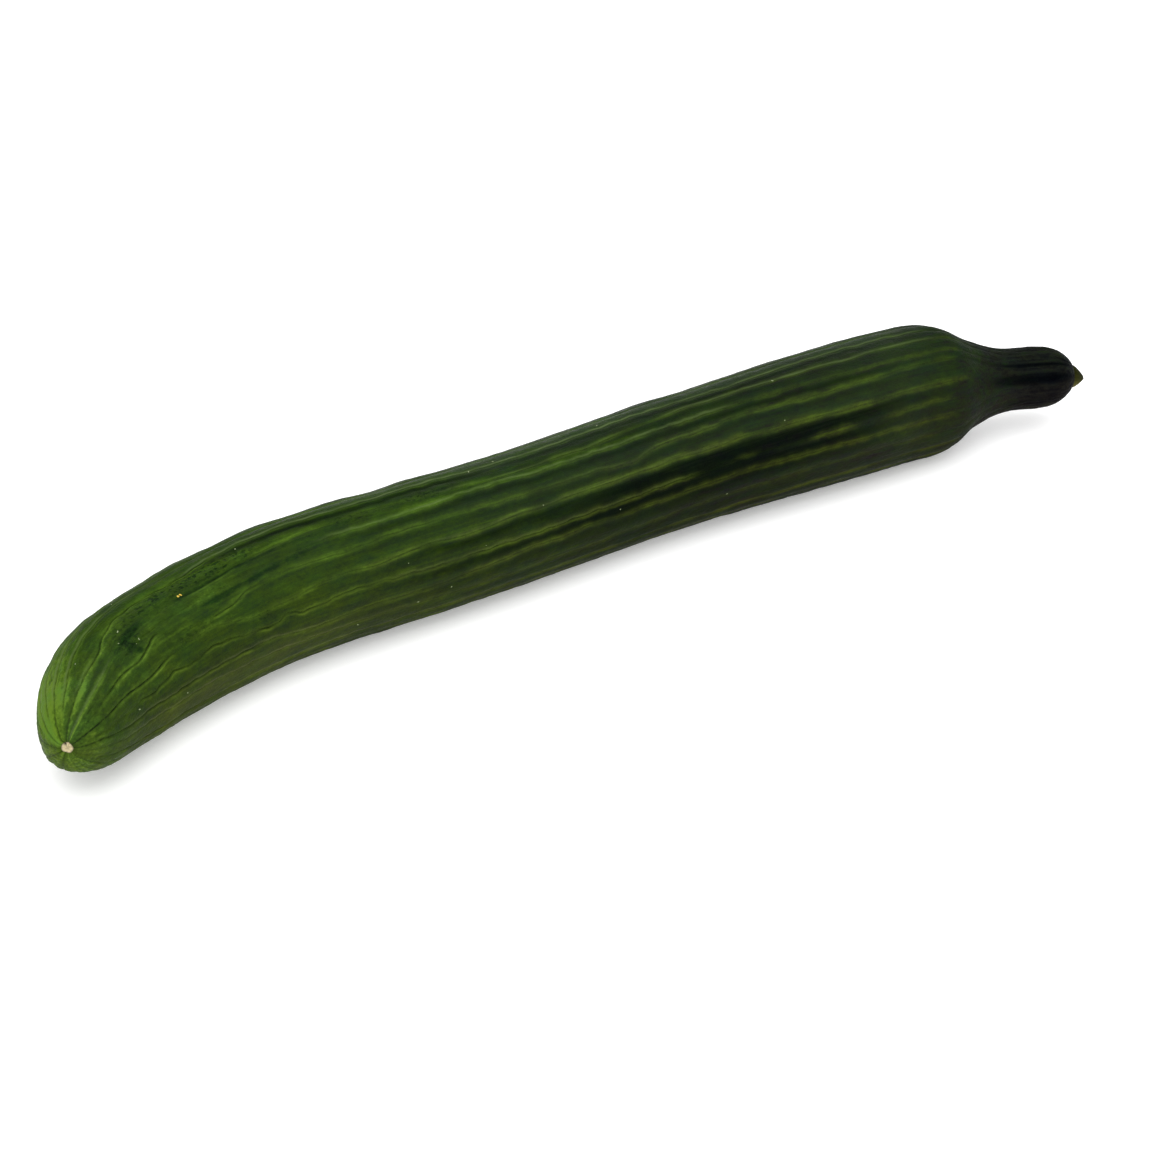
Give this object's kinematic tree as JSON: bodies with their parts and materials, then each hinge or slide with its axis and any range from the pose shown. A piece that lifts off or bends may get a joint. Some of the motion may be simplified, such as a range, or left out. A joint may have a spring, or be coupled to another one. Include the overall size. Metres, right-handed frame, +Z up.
{
  "type": "whole cucumber",
  "caption": "Whole long cucumber lying on its side: ribbed, gently curved green fruit with a blunt blossom end and a narrow neck.",
  "frame": {"origin": "under the middle of the bounding box, on the surface that the cucumber lies on", "axes": "+X along the fruit from the blossom end to the stem end, +Z up; the blossom end and the neck bend towards -Y"},
  "size_m": [0.389, 0.0664, 0.0436],
  "materials": {
    "skin": "waxy dark green cucumber skin, satin, with pale yellow-green streaks along the furrows"
  },
  "bodies": {
    "root": {"cucumber": "skin"}
  },
  "joints": []
}
